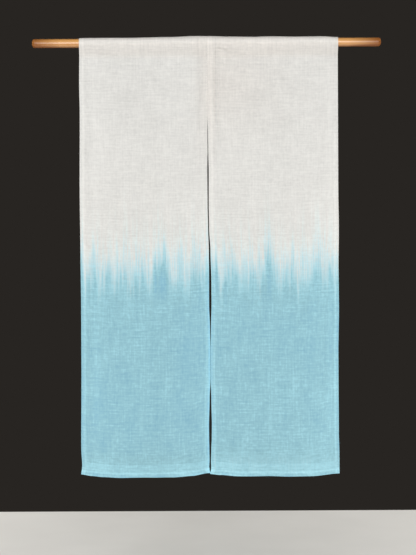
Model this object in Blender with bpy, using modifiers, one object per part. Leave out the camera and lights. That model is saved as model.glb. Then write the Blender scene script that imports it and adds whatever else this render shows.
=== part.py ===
"""A noren: two dip-dyed linen panels, seamed together at the top, on a wooden rod in a sewn pocket.

Metres, +Z up, +X along the rod, +Y away from the viewer, who faces the cloth's front.
The origin is the middle of the rod's left end face. Depths are measured down from the rod's axis.
"""

import math
from collections import namedtuple

import bmesh
import bpy
import numpy as np

# The rod: a turned dowel with rounded ends.
ROD_LENGTH = 1.187
ROD_RADIUS = 0.015
ROD_END_ROUNDING = 0.009
ROD_SIDES = 48
ROD_ROUNDING_STEPS = 4
SMOOTH_UP_TO = math.radians(40)
ROUNDED_OVER = math.radians(60)

# The cloth: two panels that meet at the centre seam. Its drop is measured from the rod's axis.
CLOTH_LEFT = 0.1605
CLOTH_WIDTH = 0.880
CLOTH_DROP = 1.4807
LEFT_PANEL_WIDTH = 0.4355
SEAM = CLOTH_LEFT + LEFT_PANEL_WIDTH
CLOTH_THICKNESS = 0.0012
HEM_THICKNESS = 0.0022
SIDE_HEM = 0.015
BOTTOM_HEM = 0.020
HEM_STEP = 0.0010
LAYER_GAP = 0.0003

# The rod pocket: the top is turned to the back over the rod and sewn down below it.
STITCH_DEPTH = 0.0437
TURNING = 0.012
LOOP_RADIUS = ROD_RADIUS + LAYER_GAP + HEM_THICKNESS
FRONT_FACE = -(LAYER_GAP / 2 + HEM_THICKNESS)

# The panels are sewn together down to JOIN_DEPTH, and hang free of each other below it.
JOIN_DEPTH = 0.246
SEWN_GAP = 0.0006

# The seam allowance lies behind the right panel and raises a low ridge down to the slit.
RIDGE_WIDTH = 0.025
RIDGE_HEIGHT = 0.0020
RIDGE_ENDS = 0.300

# Mesh steps.
ARC_STEPS = 14
TANGENT_STEPS = 3
HANGING_STEPS = 42
MIDDLE_COLUMNS = 11

Panel = namedtuple("Panel", "name width lower_line top_line folds")
EdgeRow = namedtuple("EdgeRow", "depth inset")
SlitRow = namedtuple("SlitRow", "depth shift gap")
LineRow = namedtuple("LineRow", "across height")
Fold = namedtuple("Fold", "across width push starts full")

# How far each outer edge hangs inside a straight line.
LEFT_EDGE = (
    EdgeRow(depth=0.00, inset=0.0000),
    EdgeRow(depth=0.14, inset=-0.0012),
    EdgeRow(depth=0.24, inset=0.0003),
    EdgeRow(depth=0.50, inset=-0.0011),
    EdgeRow(depth=0.72, inset=0.0004),
    EdgeRow(depth=0.90, inset=0.0017),
    EdgeRow(depth=1.10, inset=0.0016),
    EdgeRow(depth=1.38, inset=-0.0003),
    EdgeRow(depth=1.44, inset=0.0024),
    EdgeRow(depth=1.47, inset=-0.0008),
)
RIGHT_EDGE = (
    EdgeRow(depth=0.00, inset=0.0000),
    EdgeRow(depth=0.50, inset=0.0003),
    EdgeRow(depth=0.64, inset=-0.0010),
    EdgeRow(depth=0.76, inset=0.0005),
    EdgeRow(depth=0.90, inset=-0.0005),
    EdgeRow(depth=1.06, inset=0.0020),
    EdgeRow(depth=1.33, inset=0.0016),
    EdgeRow(depth=1.40, inset=0.0000),
    EdgeRow(depth=1.47, inset=0.0000),
)

# The slit below the seam: its sideways drift and how far it stands open.
SLIT = (
    SlitRow(depth=0.000, shift=0.0000, gap=SEWN_GAP),
    SlitRow(depth=JOIN_DEPTH, shift=0.0000, gap=SEWN_GAP),
    SlitRow(depth=0.365, shift=-0.0003, gap=0.0018),
    SlitRow(depth=0.450, shift=-0.0007, gap=0.0038),
    SlitRow(depth=0.555, shift=-0.0009, gap=0.0026),
    SlitRow(depth=0.630, shift=0.0020, gap=0.0026),
    SlitRow(depth=0.710, shift=0.0046, gap=0.0044),
    SlitRow(depth=0.810, shift=0.0068, gap=0.0078),
    SlitRow(depth=0.900, shift=0.0072, gap=0.0060),
    SlitRow(depth=0.980, shift=0.0070, gap=0.0020),
    SlitRow(depth=1.045, shift=0.0068, gap=0.0008),
    SlitRow(depth=1.120, shift=0.0064, gap=0.0006),
    SlitRow(depth=1.220, shift=0.0058, gap=0.0049),
    SlitRow(depth=1.300, shift=0.0054, gap=0.0088),
    SlitRow(depth=1.360, shift=0.0051, gap=0.0076),
    SlitRow(depth=1.410, shift=0.0047, gap=0.0050),
    SlitRow(depth=1.448, shift=0.0043, gap=0.0050),
    SlitRow(depth=1.470, shift=0.0036, gap=0.0007),
)

# The lower edges. The hemmed sides are a little short, so each panel hangs lowest in its middle.
LEFT_LOWER_LINE = (
    LineRow(across=0.00, height=-1.4694),
    LineRow(across=0.08, height=-1.4739),
    LineRow(across=0.17, height=-1.4768),
    LineRow(across=0.34, height=-1.4801),
    LineRow(across=0.55, height=-CLOTH_DROP),
    LineRow(across=0.70, height=-1.4788),
    LineRow(across=0.86, height=-1.4749),
    LineRow(across=1.00, height=-1.4668),
)
RIGHT_LOWER_LINE = (
    LineRow(across=0.00, height=-1.4685),
    LineRow(across=0.08, height=-1.4724),
    LineRow(across=0.22, height=-1.4758),
    LineRow(across=0.42, height=-1.4768),
    LineRow(across=0.58, height=-1.4790),
    LineRow(across=0.78, height=-1.4767),
    LineRow(across=1.00, height=-1.4702),
)

# The pressed top fold stands a little above the rod, most of all where the seam stiffens it.
LEFT_TOP_LINE = (
    LineRow(across=0.00, height=LOOP_RADIUS),
    LineRow(across=0.10, height=0.0182),
    LineRow(across=0.45, height=0.0184),
    LineRow(across=0.70, height=0.0197),
    LineRow(across=0.90, height=0.0225),
    LineRow(across=1.00, height=0.0228),
)
RIGHT_TOP_LINE = (
    LineRow(across=0.00, height=0.0228),
    LineRow(across=0.05, height=0.0222),
    LineRow(across=0.15, height=0.0198),
    LineRow(across=0.35, height=0.0194),
    LineRow(across=0.48, height=0.0204),
    LineRow(across=0.68, height=0.0188),
    LineRow(across=0.88, height=0.0193),
    LineRow(across=1.00, height=LOOP_RADIUS),
)

# Soft upright folds: place and half-width as shares of the panel, push away from the viewer,
# the depth where it starts and the depth where it is full.
LEFT_FOLDS = (
    Fold(across=0.00, width=0.16, push=0.0070, starts=0.30, full=1.45),
    Fold(across=0.24, width=0.20, push=-0.0090, starts=0.20, full=1.40),
    Fold(across=0.50, width=0.16, push=0.0060, starts=0.45, full=1.45),
    Fold(across=0.74, width=0.17, push=-0.0080, starts=0.15, full=1.30),
    Fold(across=0.93, width=0.07, push=0.0035, starts=0.06, full=0.35),
    Fold(across=1.00, width=0.13, push=0.0060, starts=0.40, full=1.35),
)
RIGHT_FOLDS = (
    Fold(across=0.00, width=0.06, push=-0.0030, starts=0.35, full=1.20),
    Fold(across=0.09, width=0.06, push=0.0035, starts=0.05, full=0.30),
    Fold(across=0.27, width=0.18, push=-0.0095, starts=0.12, full=1.25),
    Fold(across=0.52, width=0.15, push=0.0055, starts=0.35, full=1.40),
    Fold(across=0.76, width=0.18, push=-0.0085, starts=0.25, full=1.45),
    Fold(across=1.00, width=0.15, push=0.0080, starts=0.20, full=1.40),
)

LEFT = Panel("panel_left", LEFT_PANEL_WIDTH, LEFT_LOWER_LINE, LEFT_TOP_LINE, LEFT_FOLDS)
RIGHT = Panel("panel_right", CLOTH_WIDTH - LEFT_PANEL_WIDTH, RIGHT_LOWER_LINE, RIGHT_TOP_LINE, RIGHT_FOLDS)

LINEN_COLOUR = (0.58, 0.72, 0.75, 1.0)
WOOD_COLOUR = (0.62, 0.36, 0.16, 1.0)


def clear_scene():
    for found in list(bpy.data.objects):
        bpy.data.objects.remove(found)


def finish_material(name, colour, roughness, metallic):
    material = bpy.data.materials.new(name)
    material.use_nodes = True
    shader = material.node_tree.nodes["Principled BSDF"]
    shader.inputs["Base Color"].default_value = colour
    shader.inputs["Roughness"].default_value = roughness
    shader.inputs["Metallic"].default_value = metallic
    material.diffuse_color = colour
    return material


def ease(share):
    """0 to 1 along an S-curve with level ends."""
    held = np.clip(share, 0.0, 1.0)
    return held * held * (3.0 - 2.0 * held)


def between_rows(rows, column, at):
    """The column's value at each place in at, eased from row to row of a table."""
    places = np.array([row[0] for row in rows])
    values = np.array([getattr(row, column) for row in rows])
    lower = np.clip(np.searchsorted(places, at, side="right") - 1, 0, len(rows) - 2)
    share = (at - places[lower]) / (places[lower + 1] - places[lower])
    return values[lower] + (values[lower + 1] - values[lower]) * ease(share)


def pocket_profile():
    """The pocket's outer face in section: up the back, over the rod, and down the front to the stitches.

    Returns the points as (y, z), and for each its share of the way up the back from the stitch line,
    which is 0 at the line and below and 1 from the rod on.
    """
    reach = math.hypot(FRONT_FACE, STITCH_DEPTH)
    drop_angle = math.atan2(-STITCH_DEPTH, FRONT_FACE)
    touch_angle = drop_angle - math.acos(LOOP_RADIUS / reach)
    front_angle = touch_angle % (2 * math.pi)
    back_angle = math.pi - front_angle
    arc = np.linspace(back_angle, front_angle, ARC_STEPS + 1)
    arc_points = LOOP_RADIUS * np.column_stack([np.cos(arc), np.sin(arc)])
    rise = np.linspace(0.0, 1.0, TANGENT_STEPS + 1)[:-1, None]
    back_foot = np.array([-FRONT_FACE, -STITCH_DEPTH])
    front_foot = np.array([FRONT_FACE, -STITCH_DEPTH])
    back = back_foot + rise * (arc_points[0] - back_foot)
    front = (front_foot + rise * (arc_points[-1] - front_foot))[::-1]
    turned_edge = back_foot - np.array([[0.0, TURNING]])
    points = np.vstack([turned_edge, back, arc_points, front])
    up_the_back = np.concatenate([[0.0], rise[:, 0], np.ones(len(arc_points) + len(front))])
    return points, up_the_back


def column_places(width):
    """Shares across a panel: both hems with their steps, and even columns between them."""
    hem = SIDE_HEM / width
    step = (SIDE_HEM + HEM_STEP) / width
    middle = np.linspace(step, 1.0 - step, MIDDLE_COLUMNS)
    return np.concatenate([[0.0, hem], middle, [1.0 - hem, 1.0]])


def hanging_places():
    """Shares of the way down from the stitch line, with two rows at the bottom hem's step."""
    length = CLOTH_DROP - STITCH_DEPTH
    hem = 1.0 - BOTTOM_HEM / length
    step = 1.0 - (BOTTOM_HEM + HEM_STEP) / length
    return np.concatenate([np.linspace(0.0, step, HANGING_STEPS)[1:], [hem, 1.0]])


def long_edges(panel, depth):
    """The x of the panel's left and right edges at each depth."""
    slit = SEAM + between_rows(SLIT, "shift", depth)
    half_gap = between_rows(SLIT, "gap", depth) / 2
    if panel is LEFT:
        return CLOTH_LEFT + between_rows(LEFT_EDGE, "inset", depth), slit - half_gap
    return slit + half_gap, CLOTH_LEFT + CLOTH_WIDTH - between_rows(RIGHT_EDGE, "inset", depth)


def fold_push(folds, across, depth):
    """How far the folds carry the cloth from its plane: a bell across, growing with depth."""
    push = np.zeros(np.broadcast(across, depth).shape)
    for fold in folds:
        bell = np.exp(-(((across - fold.across) / fold.width) ** 2))
        push += fold.push * bell * ease((depth - fold.starts) / (fold.full - fold.starts))
    return push


def seam_ridge(from_seam, depth):
    """How far the seam allowance stands the right panel's front out: level, then easing off."""
    beyond_middle = from_seam / (RIDGE_WIDTH / 2) - 1.0
    below_rod = ease(depth / STITCH_DEPTH)
    fading = ease((RIDGE_ENDS - depth) / (RIDGE_ENDS - JOIN_DEPTH))
    return RIDGE_HEIGHT * (1.0 - ease(beyond_middle)) * below_rod * fading


def panel_grid(panel):
    """The panel's outer face as points (rows, columns, 3), and 1 where it is hemmed (rows, columns)."""
    across = column_places(panel.width)
    profile, up_the_back = pocket_profile()
    down = hanging_places()

    from_side = np.minimum(across, 1.0 - across) * panel.width
    side_hem = from_side < SIDE_HEM + HEM_STEP / 2
    thickness = np.where(side_hem, HEM_THICKNESS, CLOTH_THICKNESS)

    lift = between_rows(panel.top_line, "height", across) - LOOP_RADIUS
    crest = np.clip(profile[:, 1] / LOOP_RADIUS, 0.0, 1.0) ** 2
    pocket_z = profile[:, 1:] + np.outer(crest, lift)
    drawn_in = 2.0 * (HEM_THICKNESS - thickness)
    pocket_y = profile[:, :1] - np.outer(1.0 - up_the_back, drawn_in)

    lowest = between_rows(panel.lower_line, "height", across)
    hanging_z = -STITCH_DEPTH + np.outer(down, lowest + STITCH_DEPTH)
    hanging_y = np.full(hanging_z.shape, FRONT_FACE)

    z = np.vstack([pocket_z, hanging_z])
    y = np.vstack([pocket_y, hanging_y])
    depth = np.clip(-z, 0.0, None)
    left, right = long_edges(panel, depth)
    x = left + (right - left) * across

    y += fold_push(panel.folds, across, depth)
    if panel is RIGHT:
        faces_front = np.concatenate([profile[:, 0] < 0.0, np.ones(len(down), bool)])
        y -= seam_ridge(across * panel.width, depth) * faces_front[:, None]

    bottom_hem = np.zeros(len(z), bool)
    bottom_hem[-2:] = True
    hemmed = side_hem[None, :] | bottom_hem[:, None]
    return np.dstack([x, y, z]), hemmed.astype(float)


def cloth_panel(panel, material, collection):
    """A flat grid bent to the panel's outer face, given its thickness on the inner side."""
    points, hemmed = panel_grid(panel)
    rows, columns = hemmed.shape
    sheet = bmesh.new()
    bmesh.ops.create_grid(sheet, x_segments=columns - 1, y_segments=rows - 1, size=1.0)
    row_by_row = sorted(sheet.verts, key=lambda v: (round(-v.co.y, 5), round(v.co.x, 5)))
    for vertex, place in zip(row_by_row, points.reshape(-1, 3)):
        vertex.co = place
    sheet.verts.index_update()
    order = [vertex.index for vertex in row_by_row]
    mesh = bpy.data.meshes.new(panel.name)
    sheet.to_mesh(mesh)
    sheet.free()
    mesh.shade_smooth()
    mesh.materials.append(material)

    cloth = bpy.data.objects.new(panel.name, mesh)
    collection.objects.link(cloth)
    hems = cloth.vertex_groups.new(name="hems")
    for index, weight in zip(order, hemmed.reshape(-1)):
        hems.add([index], float(weight), "REPLACE")
    shell = cloth.modifiers.new("thickness", "SOLIDIFY")
    shell.thickness = HEM_THICKNESS
    shell.vertex_group = hems.name
    shell.thickness_vertex_group = CLOTH_THICKNESS / HEM_THICKNESS
    shell.offset = -1.0
    shell.use_even_offset = True
    shell.use_quality_normals = True
    return cloth


def rod(material, collection):
    """A cylinder along X with both end edges rounded over."""
    shape = bmesh.new()
    bmesh.ops.create_cone(
        shape, cap_ends=True, segments=ROD_SIDES, radius1=ROD_RADIUS, radius2=ROD_RADIUS, depth=ROD_LENGTH
    )
    mesh = bpy.data.meshes.new("rod")
    shape.to_mesh(mesh)
    shape.free()
    mesh.shade_smooth()
    mesh.set_sharp_from_angle(angle=SMOOTH_UP_TO)
    mesh.materials.append(material)
    dowel = bpy.data.objects.new("rod", mesh)
    dowel.location = (ROD_LENGTH / 2, 0.0, 0.0)
    dowel.rotation_euler = (0.0, math.radians(90), 0.0)
    collection.objects.link(dowel)
    rounding = dowel.modifiers.new("rounded_ends", "BEVEL")
    rounding.width = ROD_END_ROUNDING
    rounding.segments = ROD_ROUNDING_STEPS
    rounding.limit_method = "ANGLE"
    rounding.angle_limit = ROUNDED_OVER
    return dowel


def main():
    clear_scene()
    noren = bpy.data.collections.new("noren")
    bpy.context.scene.collection.children.link(noren)
    linen = finish_material("linen", LINEN_COLOUR, roughness=0.9, metallic=0.0)
    wood = finish_material("wood", WOOD_COLOUR, roughness=0.35, metallic=0.0)
    cloth_panel(LEFT, linen, noren)
    cloth_panel(RIGHT, linen, noren)
    rod(wood, noren)


main()
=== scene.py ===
# %% [markdown]
# # A dip-dyed noren on its rod
#
# A noren is the split curtain of a doorway: two lengths of slubby linen, sewn together at the top and
# open below, with a pocket for a round wooden rod. The upper half is undyed. The lower half was dipped
# in a pale blue bath, which climbed the threads and left a feathered edge.
#
# The plain model of it is loaded first and stays a fixed frame. This lesson dresses that model, piece by
# piece: the cloth on its folds, the dye, the weave, the sewing thread and the rod.

# %% Load the frame
import math
from collections import namedtuple

import bpy
import numpy as np
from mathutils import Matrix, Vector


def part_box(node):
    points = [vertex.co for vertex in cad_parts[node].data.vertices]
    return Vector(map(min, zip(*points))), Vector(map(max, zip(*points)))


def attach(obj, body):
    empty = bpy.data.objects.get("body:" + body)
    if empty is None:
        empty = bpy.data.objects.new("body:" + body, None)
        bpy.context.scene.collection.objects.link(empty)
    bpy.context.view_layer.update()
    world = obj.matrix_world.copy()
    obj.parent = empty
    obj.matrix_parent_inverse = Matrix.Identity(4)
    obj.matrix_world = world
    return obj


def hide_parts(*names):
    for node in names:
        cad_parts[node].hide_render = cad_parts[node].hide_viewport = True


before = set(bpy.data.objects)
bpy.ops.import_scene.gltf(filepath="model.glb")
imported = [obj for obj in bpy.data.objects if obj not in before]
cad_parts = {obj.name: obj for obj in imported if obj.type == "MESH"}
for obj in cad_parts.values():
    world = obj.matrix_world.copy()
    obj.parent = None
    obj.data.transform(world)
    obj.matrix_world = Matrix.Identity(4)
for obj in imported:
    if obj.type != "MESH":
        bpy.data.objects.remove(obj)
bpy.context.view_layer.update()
rod_low, rod_high = (np.array(corner, float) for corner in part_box("rod"))

# %% [markdown]
# ## The view
#
# The curtain was seen square on from a few metres away. The lens is worked out from the height that the
# picture covers at the cloth and from the distance, so that both stay real sizes. A camera's sensor is
# 36 mm along the picture's longer side. Nothing nearer to it than NEAREST is drawn, so it could also go in
# close. It leans a quarter of a degree, as it did when the curtain was seen.

# %% Place the camera
VIEW_CENTRE = (0.5950, -0.7998)
VIEW_HEIGHT = 1.891
VIEW_DISTANCE = 3.8
SENSOR_LONG_SIDE = 36.0
NEAREST = 0.05
LEAN = math.radians(0.272)


def place_camera():
    """A level camera on the -Y side, turned a little about its own line of sight."""
    lens = bpy.data.cameras.new("camera")
    lens.sensor_width = SENSOR_LONG_SIDE
    lens.lens = SENSOR_LONG_SIDE * VIEW_DISTANCE / VIEW_HEIGHT
    lens.clip_start = NEAREST
    camera = bpy.data.objects.new("camera", lens)
    camera.location = (VIEW_CENTRE[0], -VIEW_DISTANCE, VIEW_CENTRE[1])
    camera.rotation_euler = (math.radians(90), LEAN, 0.0)
    bpy.context.scene.collection.objects.link(camera)
    bpy.context.scene.camera = camera
    return camera


camera = place_camera()
print(f"lens {camera.data.lens:.1f} mm at {VIEW_DISTANCE} m")

# %% [markdown]
# ## Numbers into meshes
#
# Each surface in this lesson is a grid of points worked out with numpy. One helper joins the points of a
# grid with four-sided faces, and one puts points, faces and values into a mesh in a few whole-array calls.
# Values such as the amount of dye are kept on the points, where the material reads them by name.

# %% Join a grid and fill a mesh
def grid_faces(rows, columns, first=0):
    """The faces of a grid whose points are numbered row by row: each joins a point, the next one in its
    row, and the two below them."""
    numbers = first + np.arange(rows * columns).reshape(rows, columns)
    corners = [numbers[:-1, :-1], numbers[1:, :-1], numbers[1:, 1:], numbers[:-1, 1:]]
    return np.stack(corners, axis=-1).reshape(-1, 4)


def mesh_object(name, points, faces, values=None, plane_map=None):
    """An object at the origin from arrays of points and faces, with a value for each point under its name
    and a flat map in metres called cloth."""
    mesh = bpy.data.meshes.new(name)
    mesh.from_pydata(points.reshape(-1, 3), [], faces.tolist() if hasattr(faces, "tolist") else faces)
    for title, amounts in (values or {}).items():
        field = mesh.attributes.new(title, "FLOAT", "POINT")
        field.data.foreach_set("value", amounts.reshape(-1).astype(np.float32))
    if plane_map is not None:
        corners = np.empty(len(mesh.loops), np.int32)
        mesh.loops.foreach_get("vertex_index", corners)
        layer = mesh.uv_layers.new(name="cloth")
        layer.data.foreach_set("uv", plane_map.reshape(-1, 2)[corners].astype(np.float32).reshape(-1))
    mesh.shade_smooth()
    thing = bpy.data.objects.new(name, mesh)
    bpy.context.scene.collection.objects.link(thing)
    return thing


def node(tree, kind, inputs=None, **settings):
    """A shader node with its settings, and its inputs linked to sockets or set to values. Inputs go by
    name. On a Mix node they go by number, because its numbers and colours share their names: 0 is the
    factor, 2 and 3 are the two numbers that it mixes, and 6 and 7 the two colours."""
    made = tree.nodes.new(kind)
    for title, value in settings.items():
        setattr(made, title, value)
    for slot, value in (inputs or {}).items():
        if isinstance(value, bpy.types.NodeSocket):
            tree.links.new(value, made.inputs[slot])
        else:
            made.inputs[slot].default_value = value
    return made


def math_node(tree, operation, *values):
    """A Math node on two or three values or sockets, as its output socket."""
    return node(tree, "ShaderNodeMath", dict(enumerate(values)), operation=operation).outputs[0]


def blank_material(name):
    """A new material, its node tree and its shader."""
    material = bpy.data.materials.new(name)
    material.use_nodes = True
    return material, material.node_tree, material.node_tree.nodes["Principled BSDF"]


def two_tone(tree, amount, colours, starts=0.0, ends=1.0):
    """A colour socket that runs evenly from the first colour to the second as the amount goes from starts
    to ends."""
    ramp = node(tree, "ShaderNodeValToRGB", {"Fac": amount})
    for stop, place, colour in zip(ramp.color_ramp.elements, (starts, ends), colours):
        stop.position = place
        stop.color = colour
    return ramp.outputs["Color"]


def seen_colour(red, green, blue):
    """A surface colour from the colour it shows in even light, where 255 is white."""
    shown = np.array([red, green, blue]) / 255.0
    linear = np.where(shown <= 0.04045, shown / 12.92, ((shown + 0.055) / 1.055) ** 2.4)
    return (*linear.tolist(), 1.0)


# %% [markdown]
# ## The studio
#
# Seen from its bright side, the gap between two hanging cloths reads dark. A dark grey surround gives
# that, and a pale floor lies under the curtain. Three wide soft lights stand in front, one level with the
# rod, one above and one below, so the cloth looks flat and even. Only the first is mirrored in the varnish,
# as a window would be, which gives the rod one long highlight. Two more stand behind at the sides for
# whoever walks round. The camera sees none of them.

# %% Floor, surround and lights
FLOOR_LEVEL = -1.93
FLOOR_HALF = (2.1, 1.6)
FLOOR_POINTS = 9
FLOOR_COLOURS = (seen_colour(214, 211, 205), seen_colour(226, 223, 217))
SURROUND = seen_colour(40, 37, 34)
Lamp = namedtuple("Lamp", "name place size watts mirrored")
LAMPS = (
    Lamp("window", (0.6, -5.2, -0.1), (3.4, 1.1), 122.0, True),
    Lamp("above", (0.5, -5.2, 2.6), (4.6, 1.8), 131.0, False),
    Lamp("below", (1.2, -5.2, -2.2), (4.0, 2.4), 79.0, False),
    Lamp("back_left", (-4.0, 2.9, 0.8), (2.0, 2.0), 250.0, False),
    Lamp("back_right", (5.2, 2.9, 0.8), (2.0, 2.0), 220.0, False),
)


def aimed_lamp(lamp, target):
    """A flat soft light that faces the target: its -Z axis is turned to the line between them."""
    light = bpy.data.lights.new(lamp.name, "AREA")
    light.shape = "RECTANGLE"
    light.size, light.size_y = lamp.size
    light.energy = lamp.watts
    thing = bpy.data.objects.new(lamp.name, light)
    thing.location = lamp.place
    away = np.array(lamp.place) - target
    level = math.hypot(away[0], away[1])
    thing.rotation_euler = (math.atan2(level, away[2]), 0.0, math.atan2(away[0], -away[1]))
    thing.visible_camera = False
    thing.visible_glossy = lamp.mirrored
    bpy.context.scene.collection.objects.link(thing)


def pale_floor():
    """A flat floor, centred under the rod, with a faint mottle."""
    middle = (rod_low + rod_high) / 2
    share = np.linspace(-1, 1, FLOOR_POINTS)
    across, back = np.meshgrid(share * FLOOR_HALF[0], share[::-1] * FLOOR_HALF[1])
    points = np.dstack([middle[0] + across, middle[1] + back, np.full(across.shape, FLOOR_LEVEL)])
    floor = mesh_object("floor", points, grid_faces(FLOOR_POINTS, FLOOR_POINTS))
    material, tree, shader = blank_material("pale_floor")
    place = node(tree, "ShaderNodeTexCoord")
    mottle = node(tree, "ShaderNodeTexNoise", {"Vector": place.outputs["Object"], "Scale": 3.0})
    tree.links.new(two_tone(tree, mottle.outputs["Fac"], FLOOR_COLOURS), shader.inputs["Base Color"])
    shader.inputs["Roughness"].default_value = 0.8
    floor.data.materials.append(material)
    return floor


surround = bpy.data.worlds.new("surround")
surround.use_nodes = True
surround.node_tree.nodes["Background"].inputs["Color"].default_value = SURROUND
bpy.context.scene.world = surround
bpy.context.scene.view_settings.view_transform = "Standard"
for lamp in LAMPS:
    aimed_lamp(lamp, np.array([VIEW_CENTRE[0], 0.0, VIEW_CENTRE[1]]))
pale_floor()
print("lamps:", [lamp.name for lamp in LAMPS])

# %% [markdown]
# ## The sizes of the cloth
#
# The cloth repeats the plain model's main sizes, because this file reads nothing but the frame. Each panel
# is a cut length with its long sides and lower edge hemmed and its top turned over the rod. Tables give its
# measures in a few rows, and between two rows a measure runs along an S-curve, so the edges wander softly.

# %% Sizes and soft steps
ROD_RADIUS = 0.015
CLOTH_LEFT = 0.1605
CLOTH_WIDTH = 0.880
CLOTH_DROP = 1.4807
LEFT_PANEL_WIDTH = 0.4355
SEAM = CLOTH_LEFT + LEFT_PANEL_WIDTH
SINGLE = 0.0007
DOUBLE = 0.0013
HEMMED = 0.0022
SIDE_HEM = 0.0155
BOTTOM_HEM = 0.0170
BOTTOM_TURNED = 0.0440
LAYER_GAP = 0.0003
STITCH_DEPTH = 0.0437
TURNING = 0.012
LOOP_RADIUS = ROD_RADIUS + LAYER_GAP + HEMMED
FRONT_FACE = -(LAYER_GAP / 2 + HEMMED)
JOIN_DEPTH = 0.246
SEWN_GAP = 0.0001

Panel = namedtuple(
    "Panel",
    "name width lower_line top_line folds creases tongues seed deeper hems bands warmer",
)
EdgeRow = namedtuple("EdgeRow", "depth inset")
SlitRow = namedtuple("SlitRow", "depth shift gap")
LineRow = namedtuple("LineRow", "across height")
Fold = namedtuple("Fold", "across width push starts full")
Crease = namedtuple("Crease", "start_across start_depth end_across end_depth width push")


def ease(share):
    """0 to 1 along an S-curve with level ends: three times the square less twice the cube."""
    held = np.clip(share, 0.0, 1.0)
    return held * held * (3.0 - 2.0 * held)


def within(edge, distance, past, soft):
    """1 inside an edge and 0 outside it: an S-curve as long as soft, which ends at past beyond the edge."""
    return ease((edge + past - distance) / soft)


def bell(distance, reach):
    """1 at no distance, falling along the bell curve to about a third at the reach."""
    return np.exp(-((distance / reach) ** 2))


def between_rows(rows, column, at):
    """The column's value at each place in at, eased from row to row of a table."""
    places = np.array([row[0] for row in rows])
    values = np.array([getattr(row, column) for row in rows])
    lower = np.clip(np.searchsorted(places, at, side="right") - 1, 0, len(rows) - 2)
    share = (at - places[lower]) / (places[lower + 1] - places[lower])
    return values[lower] + (values[lower + 1] - values[lower]) * ease(share)


print(f"cloth {CLOTH_WIDTH} m wide, drop {CLOTH_DROP} m, seam at {SEAM} m along the rod")

# %% [markdown]
# ## Edges that wander
#
# Hand-hemmed linen never hangs in straight lines. The outer edges stray by a millimetre or two, the slit
# opens and shuts on its way down, the lower edge is lowest in the middle of each panel, and the pressed
# top fold stands a little above the rod, most of all at the seam. Noise could make edges wander too, but
# not in the places where these do, so each edge is a short table. The rows are the plain model's, apart
# from those of the slit and the top fold, which are drawn a little finer here.

# %% Tables of the edges
LEFT_EDGE = (
    EdgeRow(depth=0.00, inset=0.0000),
    EdgeRow(depth=0.14, inset=-0.0012),
    EdgeRow(depth=0.24, inset=0.0003),
    EdgeRow(depth=0.50, inset=-0.0011),
    EdgeRow(depth=0.72, inset=0.0004),
    EdgeRow(depth=0.90, inset=0.0017),
    EdgeRow(depth=1.10, inset=0.0016),
    EdgeRow(depth=1.38, inset=-0.0003),
    EdgeRow(depth=1.44, inset=0.0024),
    EdgeRow(depth=1.47, inset=-0.0008),
)
RIGHT_EDGE = (
    EdgeRow(depth=0.00, inset=0.0000),
    EdgeRow(depth=0.50, inset=0.0003),
    EdgeRow(depth=0.64, inset=-0.0010),
    EdgeRow(depth=0.76, inset=0.0005),
    EdgeRow(depth=0.90, inset=-0.0005),
    EdgeRow(depth=1.06, inset=0.0020),
    EdgeRow(depth=1.33, inset=0.0016),
    EdgeRow(depth=1.40, inset=0.0000),
    EdgeRow(depth=1.47, inset=0.0000),
)
SLIT = (
    SlitRow(depth=0.000, shift=0.0000, gap=SEWN_GAP),
    SlitRow(depth=JOIN_DEPTH, shift=0.0000, gap=SEWN_GAP),
    SlitRow(depth=0.317, shift=0.0003, gap=0.0022),
    SlitRow(depth=0.365, shift=0.0007, gap=0.0026),
    SlitRow(depth=0.440, shift=0.0007, gap=0.0050),
    SlitRow(depth=0.555, shift=0.0006, gap=0.0040),
    SlitRow(depth=0.630, shift=0.0018, gap=0.0036),
    SlitRow(depth=0.710, shift=0.0050, gap=0.0056),
    SlitRow(depth=0.810, shift=0.0064, gap=0.0078),
    SlitRow(depth=0.885, shift=0.0063, gap=0.0084),
    SlitRow(depth=0.980, shift=0.0065, gap=0.0032),
    SlitRow(depth=1.045, shift=0.0066, gap=0.0004),
    SlitRow(depth=1.140, shift=0.0063, gap=0.0003),
    SlitRow(depth=1.215, shift=0.0053, gap=0.0058),
    SlitRow(depth=1.305, shift=0.0049, gap=0.0098),
    SlitRow(depth=1.345, shift=0.0047, gap=0.0090),
    SlitRow(depth=1.385, shift=0.0041, gap=0.0066),
    SlitRow(depth=1.423, shift=0.0037, gap=0.0050),
    SlitRow(depth=1.445, shift=0.0034, gap=0.0068),
    SlitRow(depth=1.456, shift=0.0035, gap=0.0052),
    SlitRow(depth=1.463, shift=0.0036, gap=0.0003),
)
LEFT_LOWER_LINE = (
    LineRow(across=0.00, height=-1.4694),
    LineRow(across=0.08, height=-1.4739),
    LineRow(across=0.17, height=-1.4768),
    LineRow(across=0.34, height=-1.4801),
    LineRow(across=0.55, height=-CLOTH_DROP),
    LineRow(across=0.70, height=-1.4788),
    LineRow(across=0.86, height=-1.4749),
    LineRow(across=1.00, height=-1.4668),
)
RIGHT_LOWER_LINE = (
    LineRow(across=0.00, height=-1.4685),
    LineRow(across=0.08, height=-1.4724),
    LineRow(across=0.22, height=-1.4758),
    LineRow(across=0.42, height=-1.4768),
    LineRow(across=0.58, height=-1.4790),
    LineRow(across=0.78, height=-1.4767),
    LineRow(across=1.00, height=-1.4702),
)
LEFT_TOP_LINE = (
    LineRow(across=0.00, height=LOOP_RADIUS),
    LineRow(across=0.10, height=0.0182),
    LineRow(across=0.38, height=0.0179),
    LineRow(across=0.70, height=0.0199),
    LineRow(across=0.90, height=0.0230),
    LineRow(across=1.00, height=0.0228),
)
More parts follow.
